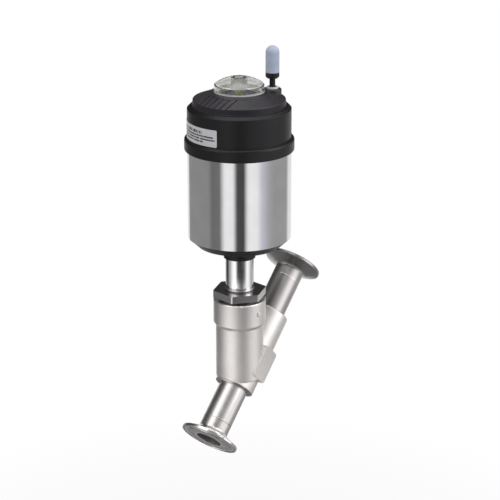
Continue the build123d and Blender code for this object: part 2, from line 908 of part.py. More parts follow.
with BuildPart() as top_cover:
    with BuildSketch(radial(0)) as cover_profile:
        with BuildLine():
            Polyline(
                (0, spigot_bottom),
                (spigot_radius, spigot_bottom),
                (spigot_radius, cover_seal_groove),
                (spigot_radius - o_ring_section, cover_seal_groove),
                (spigot_radius - o_ring_section, cover_seal_groove + groove_height),
                (spigot_radius, cover_seal_groove + groove_height),
                (spigot_radius, cover_ledge),
                (flange_radius, cover_ledge),
                (flange_radius, flange_top),
                (waist_radius, flange_top + cover_waist_rise),
                (rim_radius, rim_level),
                (ring_radius, ring_level),
                (ring_radius, ring_level + ring_line_step),
                (cone_top_radius, dome_seat),
                (0, dome_seat),
                close=True,
            )
        make_face()
        rim_corner = (rim_radius, rim_level)
        fillet(cover_profile.vertices().sort_by_distance(rim_corner)[0], cover_rim_round)
    revolve(axis=spindle_axis)
    add(groove_strips.part, mode=Mode.SUBTRACT)
    add(silencer_boss.part)
    with BuildSketch(radial(0)):
        with BuildLine():
            Polyline(
                (0, spigot_bottom),
                (spigot_inner, spigot_bottom),
                (spigot_inner, spring_seat_level),
                (spring_seat_inner, spring_seat_level),
                (spring_seat_inner, well_floor - cover_floor_thickness),
                (0, well_floor - cover_floor_thickness),
                close=True,
            )
        make_face()
        with BuildLine():
            Polyline(
                (0, well_floor),
                (dome_spigot_radius + fit, well_floor),
                (dome_spigot_radius + fit, dome_seat),
                (0, dome_seat),
                close=True,
            )
        make_face()
        with Locations((dome_seal_inner, dome_seat)):
            Rectangle(dome_seal_section + fit, dome_seal_section + fit, align=(Align.MIN, Align.MAX))
        with Locations((0, well_floor)):
            Rectangle(tip_radius + open_gap, cover_floor_thickness, align=(Align.MIN, Align.MAX))
    revolve(axis=spindle_axis, mode=Mode.SUBTRACT)
    with BuildSketch(level(spring_seat_level)):
        with Locations(boss_centre):
            Circle(vent_pocket_d / 2)
    extrude(amount=spring_seat_drop, mode=Mode.SUBTRACT)
    with BuildSketch(level(rim_level)):
        with Locations(boss_centre):
            Circle(silencer_thread_radius + fit)
    extrude(amount=cone_rise, mode=Mode.SUBTRACT)
top_cover.part.label = "top_cover"
export_step(top_cover.part, "parts/top_cover.step")

with BuildPart() as top_cover_seal:
    seal_level = cover_seal_groove + groove_height / 2
    add(o_ring(spigot_radius - o_ring_radius + fit / 2, seal_level, o_ring_radius))
top_cover_seal.part.label = "top_cover_seal"
export_step(top_cover_seal.part, "parts/top_cover_seal.step")

# Clear indicator dome: foot, side, cap, spigot and the hexagonal lens block over the indicator
side_radius = foot_radius - dome_foot_step
dome_side_top = dome_seat + dome_side_height
dome_inner_radius = side_radius - dome_wall
dome_spigot_bottom = dome_seat - dome_spigot_length
lens_bottom = dome_seat + lens_gap
lens_top = dome_top - lens_roof

with BuildPart() as indicator_dome:
    with BuildSketch(radial(0)):
        with BuildLine():
            TangentArc((0, dome_top), (side_radius - dome_shoulder, dome_side_top), tangent=(1, 0))
            Polyline(
                (side_radius - dome_shoulder, dome_side_top),
                (side_radius, dome_side_top - dome_shoulder),
                (side_radius, dome_seat + dome_foot_height),
                (foot_radius, dome_seat + dome_foot_height),
                (foot_radius, dome_seat),
                (dome_spigot_radius, dome_seat),
                (dome_spigot_radius, dome_spigot_bottom),
                (0, dome_spigot_bottom),
                (0, dome_top),
            )
        make_face()
    revolve(axis=spindle_axis)
    with BuildSketch(radial(0)):
        with BuildLine():
            TangentArc(
                (0, dome_top - dome_wall),
                (dome_inner_radius, dome_side_top - dome_wall),
                tangent=(1, 0),
            )
            Polyline(
                (dome_inner_radius, dome_side_top - dome_wall),
                (dome_inner_radius, dome_seat + dome_foot_height),
                (dome_spigot_radius - dome_spigot_wall, dome_seat),
                (dome_spigot_radius - dome_spigot_wall, dome_spigot_bottom),
                (0, dome_spigot_bottom),
                (0, dome_top - dome_wall),
            )
        make_face()
    revolve(axis=spindle_axis, mode=Mode.SUBTRACT)
    with BuildSketch(level(lens_bottom)):
        RegularPolygon(lens_af / 2, 6, major_radius=False, rotation=lens_turn)
    extrude(amount=lens_top - lens_bottom)
    with BuildSketch(level(lens_bottom)):
        Circle(lens_bore_d / 2)
    extrude(amount=lens_top - lens_bottom, mode=Mode.SUBTRACT)
indicator_dome.part.label = "indicator_dome"
export_step(indicator_dome.part, "parts/indicator_dome.step")

with BuildPart() as dome_seal:
    seal_radius = dome_seal_section / 2
    add(o_ring(dome_seal_inner + seal_radius + fit / 2, dome_seat - seal_radius - fit / 2, seal_radius))
dome_seal.part.label = "dome_seal"
export_step(dome_seal.part, "parts/dome_seal.step")

# Silencer: washer, black screw-in body with its cup, and the porous element
silencer_foot_point = crossing + Vector(*boss_centre)
silencer_axis = Axis(silencer_foot_point, upward)
silencer_section = Plane(origin=silencer_foot_point, x_dir=(1, 0, 0), z_dir=(0, -1, 0))
washer_top = dome_seat + silencer_washer_height
silencer_vent_radius = silencer_vent_d / 2
silencer_foot_radius = silencer_foot_d / 2
silencer_stem_radius = silencer_stem_d / 2
silencer_radius = silencer_d / 2
cup_bottom = washer_top + silencer_stem_length
cup_top = cup_bottom + silencer_cup_height
cup_floor = cup_top - silencer_cup_depth
cup_inner = silencer_radius - silencer_cup_wall
silencer_top = washer_top + silencer_height
element_shoulder = silencer_top - silencer_radius

with BuildPart() as silencer_washer:
    washer_inner = silencer_thread_radius + fit
    washer_outer = silencer_washer_d / 2
    washer = [
        (washer_inner, dome_seat),
        (washer_outer, dome_seat),
        (washer_outer, washer_top),
        (washer_inner, washer_top),
    ]
    add(turned(washer, section=silencer_section, axis=silencer_axis))
silencer_washer.part.label = "silencer_washer"
export_step(silencer_washer.part, "parts/silencer_washer.step")

with BuildPart() as silencer_body:
    with BuildSketch(silencer_section):
        with BuildLine():
            Polyline(
                (silencer_vent_radius, dome_seat - silencer_thread_length),
                (silencer_thread_radius, dome_seat - silencer_thread_length),
                (silencer_thread_radius, washer_top),
                (silencer_foot_radius, washer_top),
                (silencer_stem_radius, washer_top + silencer_foot_height),
                (silencer_stem_radius, cup_bottom),
                (silencer_radius - silencer_cup_slope, cup_bottom),
                (silencer_radius, cup_bottom + silencer_cup_slope),
                (silencer_radius, cup_top),
                (cup_inner, cup_top),
                (cup_inner, cup_floor),
                (silencer_vent_radius, cup_floor),
                close=True,
            )
        make_face()
    revolve(axis=silencer_axis)
silencer_body.part.label = "silencer_body"
export_step(silencer_body.part, "parts/silencer_body.step")

with BuildPart() as silencer_element:
    with BuildSketch(silencer_section):
        with BuildLine():
            TangentArc((0, silencer_top), (silencer_radius, element_shoulder), tangent=(1, 0))
            Polyline(
                (silencer_radius, element_shoulder),
                (silencer_radius, cup_top),
                (cup_inner - fit, cup_top),
                (cup_inner - fit, cup_floor),
                (silencer_radius - silencer_wall, cup_floor),
                (silencer_radius - silencer_wall, element_shoulder),
            )
            TangentArc(
                (0, silencer_top - silencer_wall),
                (silencer_radius - silencer_wall, element_shoulder),
                tangent=(1, 0),
            )
            Line((0, silencer_top - silencer_wall), (0, silencer_top))
        make_face()
    revolve(axis=silencer_axis)
silencer_element.part.label = "silencer_element"
export_step(silencer_element.part, "parts/silencer_element.step")

# Plug with its soft seal, retainer and cross pin
plug_bottom = seat_level + seat_seal_height
plug_top = plug_bottom + plug_height
plug_hub_top = plug_top + plug_hub_height
seal_outer = seat_bore + seat_lip_width + seat_seal_overlap
plug_radius = seal_outer + fit + plug_rim
plug_hub_radius = plug_hub_d / 2
stud_radius = retainer_stud_d / 2
stud_top = plug_bottom + retainer_stud_grip
spindle_bottom = plug_hub_top - plug_spindle_depth
plug_pin_radius = plug_pin_d / 2
plug_pin_level = plug_hub_top - plug_hub_height / 2
pin_plane = Plane(origin=crossing + upward * plug_pin_level, x_dir=(1, 0, 0), z_dir=sideways)

with BuildPart() as plug_disc:
    with BuildSketch(radial(0)):
        with BuildLine():
            Polyline(
                (0, stud_top + fit),
                (stud_radius + fit, stud_top + fit),
                (stud_radius + fit, plug_bottom),
                (seal_outer + fit, plug_bottom),
                (seal_outer + fit, plug_bottom - seat_seal_recess),
                (plug_radius, plug_bottom - seat_seal_recess),
                (plug_radius, plug_top - plug_chamfer),
                (plug_radius - plug_chamfer, plug_top),
                (plug_hub_radius, plug_top),
                (plug_hub_radius, plug_hub_top),
                (spindle_radius + fit, plug_hub_top),
                (spindle_radius + fit, spindle_bottom),
                (0, spindle_bottom),
                close=True,
            )
        make_face()
    revolve(axis=spindle_axis)
    with BuildSketch(pin_plane.offset(-plug_hub_radius)):
        Circle(plug_pin_radius + fit)
    extrude(amount=plug_hub_d, mode=Mode.SUBTRACT)
plug_disc.part.label = "plug_disc"
export_step(plug_disc.part, "parts/plug_disc.step")

with BuildPart() as seat_seal:
    add(sleeve(stud_radius + fit, seal_outer, seat_level, plug_bottom))
seat_seal.part.label = "seat_seal"
export_step(seat_seal.part, "parts/seat_seal.step")

with BuildPart() as plug_retainer:
    with BuildSketch(radial(0)):
        with BuildLine():
            Polyline(
                (0, seat_level - retainer_height),
                (seat_bore - retainer_gap - plug_chamfer, seat_level - retainer_height),
                (seat_bore - retainer_gap, seat_level - retainer_height + plug_chamfer),
                (seat_bore - retainer_gap, seat_level),
                (stud_radius, seat_level),
                (stud_radius, stud_top),
                (0, stud_top),
                close=True,
            )
        make_face()
    revolve(axis=spindle_axis)
plug_retainer.part.label = "plug_retainer"
export_step(plug_retainer.part, "parts/plug_retainer.step")

with BuildPart() as plug_pin:
    with BuildSketch(pin_plane.offset(-plug_pin_length / 2)):
        Circle(plug_pin_radius)
    extrude(amount=plug_pin_length)
plug_pin.part.label = "plug_pin"
export_step(plug_pin.part, "parts/plug_pin.step")

# Spindle: plug end, piston seat, threaded rod end and indicator rod
rod_end_radius = rod_end_d / 2
piston_seat_level = piston_bottom + piston_seat_depth
rod_end_top = piston_hub_top + piston_nut_height + rod_end_margin
indicator_rod_radius = indicator_rod_d / 2
tip_bottom = tip_top - tip_height
tip_pin_radius = tip_pin_d / 2

with BuildPart() as spindle:
    with BuildSketch(radial(0)):
        with BuildLine():
            Polyline(
                (0, spindle_bottom),
                (spindle_radius, spindle_bottom),
                (spindle_radius, piston_seat_level),
                (rod_end_radius, piston_seat_level),
                (rod_end_radius, rod_end_top),
                (indicator_rod_radius, rod_end_top),
                (indicator_rod_radius, tip_bottom),
                (tip_pin_radius, tip_bottom),
                (tip_pin_radius, tip_bottom + tip_pin_length - fit),
                (0, tip_bottom + tip_pin_length - fit),
                close=True,
            )
        make_face()
    revolve(axis=spindle_axis)
    with BuildSketch(pin_plane.offset(-spindle_radius)):
        Circle(plug_pin_radius + fit)
    extrude(amount=spindle_d, mode=Mode.SUBTRACT)
spindle.part.label = "spindle"
export_step(spindle.part, "parts/spindle.step")

# Piston with its seal and guide ring grooves, and the nut that holds it
piston_radius = piston_bore - open_gap
piston_top = piston_bottom + piston_height
piston_web_top = piston_bottom + piston_web
seal_groove_bottom = piston_bottom + ring_land
seal_groove_top = seal_groove_bottom + piston_seal_height + 2 * fit
guide_groove_bottom = seal_groove_top + ring_land
guide_groove_top = guide_groove_bottom + guide_ring_height + 2 * fit
seal_groove_radius = piston_radius - piston_seal_depth
guide_groove_radius = piston_radius - guide_ring_depth
piston_hub_radius = piston_hub_d / 2
ring_outer = piston_bore - ring_running

with BuildPart() as piston:
    with BuildSketch(radial(0)):
        with BuildLine():
            Polyline(
                (spindle_radius + fit, piston_bottom),
                (piston_radius - piston_edge, piston_bottom),
                (piston_radius, piston_bottom + piston_edge),
                (piston_radius, seal_groove_bottom),
                (seal_groove_radius, seal_groove_bottom),
                (seal_groove_radius, seal_groove_top),
                (piston_radius, seal_groove_top),
                (piston_radius, guide_groove_bottom),
                (guide_groove_radius, guide_groove_bottom),
                (guide_groove_radius, guide_groove_top),
                (piston_radius, guide_groove_top),
                (piston_radius, piston_top),
                (piston_radius - piston_wall, piston_top),
                (piston_radius - piston_wall, piston_web_top),
                (piston_hub_radius, piston_web_top),
                (piston_hub_radius, piston_hub_top),
                (rod_end_radius + fit, piston_hub_top),
                (rod_end_radius + fit, piston_seat_level),
                (spindle_radius + fit, piston_seat_level),
                close=True,
            )
        make_face()
    revolve(axis=spindle_axis)
piston.part.label = "piston"
export_step(piston.part, "parts/piston.step")

with BuildPart() as piston_seal:
    add(sleeve(seal_groove_radius + fit, ring_outer, seal_groove_bottom + fit, seal_groove_top - fit))
piston_seal.part.label = "piston_seal"
export_step(piston_seal.part, "parts/piston_seal.step")

with BuildPart() as piston_guide_ring:
    add(sleeve(guide_groove_radius + fit, ring_outer, guide_groove_bottom + fit, guide_groove_top - fit))
piston_guide_ring.part.label = "piston_guide_ring"
export_step(piston_guide_ring.part, "parts/piston_guide_ring.step")

with BuildPart() as piston_nut:
    with BuildSketch(level(piston_hub_top)):
        RegularPolygon(piston_nut_af / 2, 6, major_radius=False)
        Circle(rod_end_radius + fit, mode=Mode.SUBTRACT)
    extrude(amount=piston_nut_height)
piston_nut.part.label = "piston_nut"
export_step(piston_nut.part, "parts/piston_nut.step")

# Return spring between the piston's web and the top cover's seat
spring_wire_radius = spring_wire_d / 2
spring_radius = spring_mean_d / 2
spring_rise = spring_seat_level - piston_web_top - spring_wire_d

with BuildPart() as return_spring:
    with BuildLine():
        coil = Helix(
            pitch=spring_rise / spring_turns,
            height=spring_rise,
            radius=spring_radius,
            center=crossing + upward * (piston_web_top + spring_wire_radius),
        )
    with BuildSketch(Plane(origin=coil @ 0, z_dir=coil % 0)):
        Circle(spring_wire_radius)
    sweep(path=coil, is_frenet=True)
return_spring.part.label = "return_spring"
export_step(return_spring.part, "parts/return_spring.step")

# Yellow tip of the indicator rod
with BuildPart() as indicator_tip:
    with BuildSketch(radial(0)):
        with BuildLine():
            Polyline(
                (tip_pin_radius + fit, tip_bottom),
                (tip_radius, tip_bottom),
                (tip_radius, tip_top - tip_round),
                (tip_radius - tip_round, tip_top),
                (0, tip_top),
                (0, tip_bottom + tip_pin_length),
                (tip_pin_radius + fit, tip_bottom + tip_pin_length),
                close=True,
            )
        make_face()
    revolve(axis=spindle_axis)
indicator_tip.part.label = "indicator_tip"
export_step(indicator_tip.part, "parts/indicator_tip.step")
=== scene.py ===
import math

import bmesh
import bpy
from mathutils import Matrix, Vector


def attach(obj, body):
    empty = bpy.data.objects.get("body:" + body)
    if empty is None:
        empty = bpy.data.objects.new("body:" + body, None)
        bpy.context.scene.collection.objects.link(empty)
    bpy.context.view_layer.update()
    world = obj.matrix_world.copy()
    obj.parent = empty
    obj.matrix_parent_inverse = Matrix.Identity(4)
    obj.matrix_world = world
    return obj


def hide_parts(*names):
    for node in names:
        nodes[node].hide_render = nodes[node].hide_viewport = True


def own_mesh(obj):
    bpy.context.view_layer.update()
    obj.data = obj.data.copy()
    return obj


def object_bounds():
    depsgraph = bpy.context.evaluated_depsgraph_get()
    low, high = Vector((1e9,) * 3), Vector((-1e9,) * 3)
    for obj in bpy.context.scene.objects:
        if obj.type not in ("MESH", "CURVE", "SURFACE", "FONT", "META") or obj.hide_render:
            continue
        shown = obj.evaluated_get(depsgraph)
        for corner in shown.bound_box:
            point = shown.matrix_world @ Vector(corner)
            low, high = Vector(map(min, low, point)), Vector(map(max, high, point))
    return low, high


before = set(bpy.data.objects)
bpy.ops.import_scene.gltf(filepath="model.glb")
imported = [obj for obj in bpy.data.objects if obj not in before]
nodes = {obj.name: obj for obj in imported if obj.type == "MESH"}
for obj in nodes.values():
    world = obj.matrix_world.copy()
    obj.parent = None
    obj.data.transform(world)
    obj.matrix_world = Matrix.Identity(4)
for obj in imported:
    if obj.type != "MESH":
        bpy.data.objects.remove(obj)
cad_low, cad_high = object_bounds()
scene = bpy.context.scene

# Places in millimetres from the pipe crossing, as in the part's source
MM = 0.001
LEG = 63.5
OUTLET_LEG = 114.0
FERRULE = 17.5
TUBE_RADIUS = 12.7
PIPE_BORE = 11.1
SOCKET_ENDS = (-12.4, 63.0)
SOCKET_RADIUS = 17.2
NECK_RADIUS = 12.0
HEX_TOP = 79.8
HEX_FLOOR = 73.6
BODY_TOP = 71.4
RIM_EDGE = 0.8
SLANT = math.sqrt(0.5)
PIPE_WAY = (SLANT, 0.0, SLANT)
INLET_WAY = (-SLANT, 0.0, -SLANT)
STEM_WAY = (0.0, 0.0, 1.0)
CROSS = Vector((LEG * SLANT, 0.0, LEG * SLANT))

# The dome and its lens, and the cover's slope as radius and height from the dome's seat
DOME_HEIGHT = 12.4
DOME_ROOF = 1.2
LENS_REACH = 6.8
CONE_FOOT = (38.5, -6.4)
CONE_HEAD = (25.3, -1.6)

# The label: its radius, its edges' heights, and the end that it is read from, in degrees round the stem
LABEL_RADIUS = 43.7
LABEL_LOW = 215.0
LABEL_HIGH = 229.4
LABEL_END = 191.6

# The label's bars: middle and half height as shares of the label's height, start, stop and the pitch of
# the gaps in millimetres along it, and how strong the noise has to be for ink
LABEL_BARS = [
    (0.745, 0.085, 15.0, 60.0, 1.1, 0.43),
    (0.545, 0.044, 3.4, 50.0, 0.9, 0.37),
    (0.385, 0.044, 1.8, 46.0, 0.9, 0.36),
    (0.225, 0.044, 14.0, 52.0, 0.9, 0.38),
]

# How far apart in the noise the bars are, so that their gaps differ
BAR_APART = 40.0

# The welds on the tubes and at the neck's foot: half width, rise, and the height and count of the ripples
TUBE_WELD = (0.6, 0.08, 0.01, 60)
FOOT_WELD = (0.9, 0.55, 0.05, 36)
WELD_ROOT = 0.3
WELD_LIP = 0.01
WELD_STEPS = 8
RIPPLE_BAND = 0.05
TURN_STEPS = 192
SHARP = math.radians(35.0)

# The return spring
SPRING_RADIUS = 28.0
SPRING_WIRE = 2.6
SPRING_TURNS = 6
SPRING_STEPS = 48
WIRE_SIDES = 12

# The middle of a noise's range, where most of its values are
NOISE_LOW = 0.3
NOISE_HIGH = 0.7


def at(x, y, z):
    """A point given in millimetres from the pipe crossing, in metres."""
    return (CROSS + Vector((x, y, z))) * MM


def level(height):
    """A height given in millimetres from the pipe crossing, in metres."""
    return (CROSS.z + height) * MM


dome_seat = max(vert.co.z for vert in nodes["indicator_dome"].data.vertices) - DOME_HEIGHT * MM


# Mesh helpers
def new_object(name, bm, look=None):
    mesh = bpy.data.meshes.new(name)
    bm.to_mesh(mesh)
    bm.free()
    obj = bpy.data.objects.new(name, mesh)
    scene.collection.objects.link(obj)
    if look:
        mesh.materials.append(look.material)
    return obj


def smooth(obj):
    """Smooth shading with the sharp edges kept."""
    mesh = obj.data
    for polygon in mesh.polygons:
        polygon.use_smooth = True
    bm = bmesh.new()
    bm.from_mesh(mesh)
    for edge in bm.edges:
        edge.smooth = len(edge.link_faces) == 2 and edge.calc_face_angle(0.0) < SHARP
    bm.to_mesh(mesh)
    bm.free()
    return obj


def lathe(name, outline, look, way, wave, waves):
    """Turns an outline of (radius, distance) pairs in millimetres round an axis through the crossing.

    A wave makes the outline's outermost points ripple along the axis, as the scales of a weld do.
    """
    axis = Vector(way).normalized()
    side = axis.orthogonal().normalized() if abs(axis.z) < 0.999 else Vector((1, 0, 0))
    other = axis.cross(side)
    widest = max(radius for radius, distance in outline)
    bm = bmesh.new()
    columns = []
    for number in range(TURN_STEPS):
        angle = 2 * math.pi * number / TURN_STEPS
        out = side * math.cos(angle) + other * math.sin(angle)
        column = []
        for radius, distance in outline:
            ripple = wave * math.sin(waves * angle) if radius > widest - RIPPLE_BAND else 0.0
            column.append(bm.verts.new((CROSS + axis * (distance + ripple) + out * radius) * MM))
        columns.append(column)
    for number, column in enumerate(columns):
        beside = columns[(number + 1) % TURN_STEPS]
        for step in range(len(outline)):
            after = (step + 1) % len(outline)
            bm.faces.new([column[step], beside[step], beside[after], column[after]])
    bmesh.ops.recalc_face_normals(bm, faces=bm.faces)
    return smooth(new_object(name, bm, look))


def added(obj, body):
    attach(obj, body)
    return obj


# Colour helpers
def grey(value):
    return (value, value, value)


def scaled(tone, share):
    return tuple(channel * share for channel in tone)


# Node helpers
class Nodes:
    """A small builder for a tree of shader nodes."""

    def __init__(self, tree):
        self.tree = tree
        tree.nodes.clear()

    def node(self, kind, **settings):
        made = self.tree.nodes.new(kind)
        for key, value in settings.items():
            setattr(made, key, value)
        return made

    def feed(self, socket, value):
        """Gives a socket a number, a vector, a colour or another node's output."""
        if isinstance(value, bpy.types.NodeSocket):
            self.tree.links.new(value, socket)
        elif isinstance(value, tuple) and len(value) < len(socket.default_value):
            socket.default_value = (*value, 1.0)
        else:
            socket.default_value = value

    def math(self, operation, *values):
        made = self.node("ShaderNodeMath", operation=operation)
        for socket, value in zip(made.inputs, values):
            self.feed(socket, value)
        return made.outputs[0]

    def vector(self, operation, first, second=None):
        """Vector maths, which gives a number for a length or a dot product."""
        made = self.node("ShaderNodeVectorMath", operation=operation)
        self.feed(made.inputs[0], first)
        if second is not None:
            self.feed(made.inputs[1], second)
        return made.outputs["Value" if operation in ("DOT_PRODUCT", "LENGTH") else "Vector"]

    def part(self, vector, axis):
        """One coordinate of a vector."""
        split = self.node("ShaderNodeSeparateXYZ")
        self.feed(split.inputs[0], vector)
        return split.outputs[axis]

    def range(self, value, low, high, new_low=0.0, new_high=1.0, **settings):
        """Maps low to new_low and high to new_high, and stays at these beyond, unless clamp is off."""
        made = self.node("ShaderNodeMapRange", **settings)
        for socket, number in zip(made.inputs, (value, low, high, new_low, new_high)):
            self.feed(socket, number)
        return made.outputs["Result"]

    def tones(self, value, dark, light, low=NOISE_LOW, high=NOISE_HIGH):
        """A soft change from a dark to a light tone as the value goes from low to high."""
        made = self.node("ShaderNodeValToRGB")
        made.color_ramp.interpolation = "EASE"
        first, last = made.color_ramp.elements
        first.position = low
        first.color = (*dark, 1.0)
        last.position = high
        last.color = (*light, 1.0)
        self.feed(made.inputs["Fac"], value)
        return made.outputs["Color"]

    def mix(self, factor, first, second):
        """A blend of two colours, which are this node's sockets 6 and 7, with their blend at socket 2."""
        made = self.node("ShaderNodeMix", data_type="RGBA")
        for number, value in ((0, factor), (6, first), (7, second)):
            self.feed(made.inputs[number], value)
        return made.outputs[2]

    def blend(self, factor, first, second):
        """A blend of two shaders."""
        made = self.node("ShaderNodeMixShader")
        for socket, value in zip(made.inputs, (factor, first, second)):
            self.feed(socket, value)
        return made.outputs[0]

    def light(self, kind, colour, strength):
        """An emission or a background."""
        made = self.node(kind)
        self.feed(made.inputs["Color"], colour)
        self.feed(made.inputs["Strength"], strength)
        return made.outputs[0]


class Shader(Nodes):
    """A material with one surface, made of object coordinates in metres."""

    def __init__(self, name):
        self.material = bpy.data.materials.new(name)
        self.material.use_nodes = True
        super().__init__(self.material.node_tree)
        self.output = self.node("ShaderNodeOutputMaterial")
        self.surface = self.node("ShaderNodeBsdfPrincipled")
        self.show(self.surface.outputs["BSDF"])
        self.point = self.node("ShaderNodeTexCoord").outputs["Object"]

    def show(self, shader):
        self.feed(self.output.inputs["Surface"], shader)

    def set(self, **values):
        """Feeds the surface's inputs, whose spaces are underscores here."""
        for key, value in values.items():
            self.feed(self.surface.inputs[key.replace("_", " ")], value)

    def paint_shade(self, share):
        """Paints shade: keeps a share of the colour that the surface has so far."""
        colour = self.surface.inputs["Base Color"]
        self.feed(colour, self.mix(share, grey(0.0), colour.links[0].from_socket))

    def stretched(self, scale):
        """The point with a scale of its own for each coordinate."""
        return self.vector("MULTIPLY", self.point, scale)

    def noise(self, scale, detail, vector=None):
        made = self.node("ShaderNodeTexNoise")
        self.feed(made.inputs["Vector"], self.point if vector is None else vector)
        self.feed(made.inputs["Scale"], scale)
        self.feed(made.inputs["Detail"], detail)
        self.feed(made.inputs["Roughness"], 0.55)
        return made.outputs["Fac"]

    def spread(self, noise, low, high):
        """A number that goes from low to high with a noise."""
        return self.range(noise, NOISE_LOW, NOISE_HIGH, low, high)

    def softened(self, radius):
        """A normal that rounds the edges a little."""
        made = self.node("ShaderNodeBevel", samples=6)
        self.feed(made.inputs["Radius"], radius * MM)
        return made.outputs["Normal"]

    def bump(self, height, strength, distance, below=None):
        """A bump on top of the normal below, with its distance in millimetres."""
        made = self.node("ShaderNodeBump")
        self.feed(made.inputs["Height"], height)
        self.feed(made.inputs["Strength"], strength)
        self.feed(made.inputs["Distance"], distance * MM)
        if below is not None:
            self.feed(made.inputs["Normal"], below)
        return made.outputs["Normal"]


# Where a point of a surface is
def pipe_arm(s):
    """The arm from the pipe crossing to a point, in metres."""
    return s.vector("SUBTRACT", s.point, tuple(CROSS * MM))


def pipe_distance(s):
    """How far a point is from the pipe's axis, in millimetres."""
    side = s.vector("CROSS_PRODUCT", pipe_arm(s), PIPE_WAY)
    return s.math("MULTIPLY", s.vector("LENGTH", side), 1 / MM)


def pipe_place(s):
    """How far along the pipe a point is from the crossing, in millimetres."""
    return s.math("MULTIPLY", s.vector("DOT_PRODUCT", pipe_arm(s), PIPE_WAY), 1 / MM)


def stem_distance(s):
    """How far a point is from the stem's axis, in metres."""
    arm = s.vector("SUBTRACT", s.point, (CROSS.x * MM, 0, 0))
    return s.vector("LENGTH", s.vector("MULTIPLY", arm, (1, 1, 0)))


# Steels
def polished_steel(name, tint, rough, grain, depth, edge=None):
    """Metal with faint hairlines and a cloudy gloss. Its edges look rounded by edge, in millimetres."""
    s = Shader(name)
    cloud = s.noise(45.0, 4.0)
    lines = s.noise(1.0, 2.0, s.stretched(grain))
    below = s.softened(edge) if edge else None
    s.set(Metallic=1.0, Base_Color=s.tones(cloud, scaled(tint, 0.93), tint))
    s.set(Roughness=s.range(s.math("MULTIPLY", cloud, lines), 0.1, 0.45, *rough))
    s.set(Normal=s.bump(lines, depth, 0.1, below))
    return s


def nut_steel(name, tint, rough, grain, depth, edge):
    """Polished nut: a dark tint as painted reflection, and painted shade in the gap below its hexagon."""
    s = polished_steel(name, tint, rough, grain, depth, edge)
    height = s.part(s.point, "Z")
    # Painted shade: the colour falls to 12 per cent in the gap below the hexagon's floor.
    s.paint_shade(s.range(height, level(HEX_FLOOR - 0.1), level(HEX_FLOOR + 0.1), 0.12, 1.0))
    return s


def pipe_steel(name, tone, rough, flange_shade_tone, flange_polish):
    """A drawn tube and its turned ferrule: satin on the tube, glossier on the flange, matt in the bore.

    The tone scales the metal's colour and is painted shade, far lower on the outlet. The flange has a
    tone of its own, painted shade as well, everywhere apart from the inlet's end face, whose darker
    colour is painted shade too. The flange's polish is the share of the tube's roughness that it has.
    """
    bore_colour = (0.38, 0.365, 0.36)
    s = Shader(name)
    reach = pipe_distance(s)
    outside = s.range(reach, PIPE_BORE + 0.1, PIPE_BORE + 0.2)
    flange = s.range(reach, TUBE_RADIUS + 0.5, TUBE_RADIUS + 2.0)
    behind = s.range(pipe_place(s), 0.4 - LEG, 0.8 - LEG)
    cloud = s.noise(45.0, 4.0)
    satin = s.tones(cloud, scaled((0.71, 0.68, 0.67), tone), scaled((0.76, 0.73, 0.72), tone))
    # Painted shade: the inlet ferrule's end face has a darker colour than its back.
    shaded_end_face = s.tones(cloud, scaled((0.48, 0.46, 0.46), tone), scaled((0.54, 0.52, 0.52), tone))
    plate = s.mix(behind, shaded_end_face, scaled((1.0, 0.97, 0.96), flange_shade_tone))
    gloss = s.math("MULTIPLY", s.spread(cloud, *rough), s.range(flange, 0.0, 1.0, 1.0, flange_polish))
    s.set(Metallic=s.range(outside, 0.0, 1.0, 0.75, 1.0))
    s.set(Base_Color=s.mix(outside, bore_colour, s.mix(flange, satin, plate)))
    s.set(Roughness=s.math("ADD", gloss, s.range(outside, 0.0, 1.0, 0.12, 0.0)))
    return s


def blasted_steel(name):
    """Bead blasted stainless casting with turned socket ends in painted shade and a polished collar rim
    with a painted highlight.
    """
    # Painted shade: the turned socket end faces get this dark colour.
    turned_end_shade_colour = (0.40, 0.38, 0.37)
    # Painted highlight, with real polish in the roughness: the collar's rim gets this light colour.
    rim_highlight_colour = (0.95, 0.93, 0.92)
    s = Shader(name)
    slow = s.noise(40.0, 4.0)
    fine = s.noise(2600.0, 2.0)
    coarse = s.noise(1100.0, 3.0)
    place = pipe_place(s)
    off_ends = [s.math("ABSOLUTE", s.math("SUBTRACT", place, end)) for end in SOCKET_ENDS]
    at_end = s.math("MAXIMUM", *[s.math("LESS_THAN", off, 0.12) for off in off_ends])
    turned = s.math("MULTIPLY", s.math("LESS_THAN", pipe_distance(s), SOCKET_RADIUS + 0.1), at_end)
    rim_foot = BODY_TOP - RIM_EDGE
    rim = s.range(s.part(s.point, "Z"), level(rim_foot), level(rim_foot + 0.1))
    skin = s.tones(slow, (0.78, 0.75, 0.735), (0.86, 0.83, 0.815), high=0.72)
    # Darker by up to 14 per cent towards the outlet, from 10 to 40 mm along the pipe.
    outlet_darkened = s.mix(s.range(place, 10.0, 40.0, 0.0, 0.14), skin, grey(0.0))
    pits = s.bump(fine, 0.20, 0.2, s.softened(0.5))
    grains = s.bump(coarse, 0.12, 0.4, pits)
    s.set(Metallic=0.86, Base_Color=s.mix(rim, s.mix(turned, outlet_darkened, turned_end_shade_colour), rim_highlight_colour))
    s.set(Roughness=s.math("MULTIPLY", s.spread(fine, 0.37, 0.46), s.range(rim, 0.0, 1.0, 1.0, 0.5)))
    s.set(Normal=s.bump(slow, 0.08, 0.6, grains))
    return s


# Plastics
def black_plastic(name, base, rough=(0.34, 0.46), grain=1500.0, gloss=0.5):
    """Black moulding with a fine spark eroded surface."""
    s = Shader(name)
    slow = s.noise(30.0, 3.0)
    fine = s.noise(grain, 3.0)
    s.set(Base_Color=s.tones(slow, scaled((1.06, 0.95, 1.15), base), scaled((1.38, 1.24, 1.50), base)))
    s.set(Specular_IOR_Level=gloss, Roughness=s.spread(fine, *rough))
    s.set(Normal=s.bump(fine, 0.12, 0.2, s.softened(0.35)))
    return s


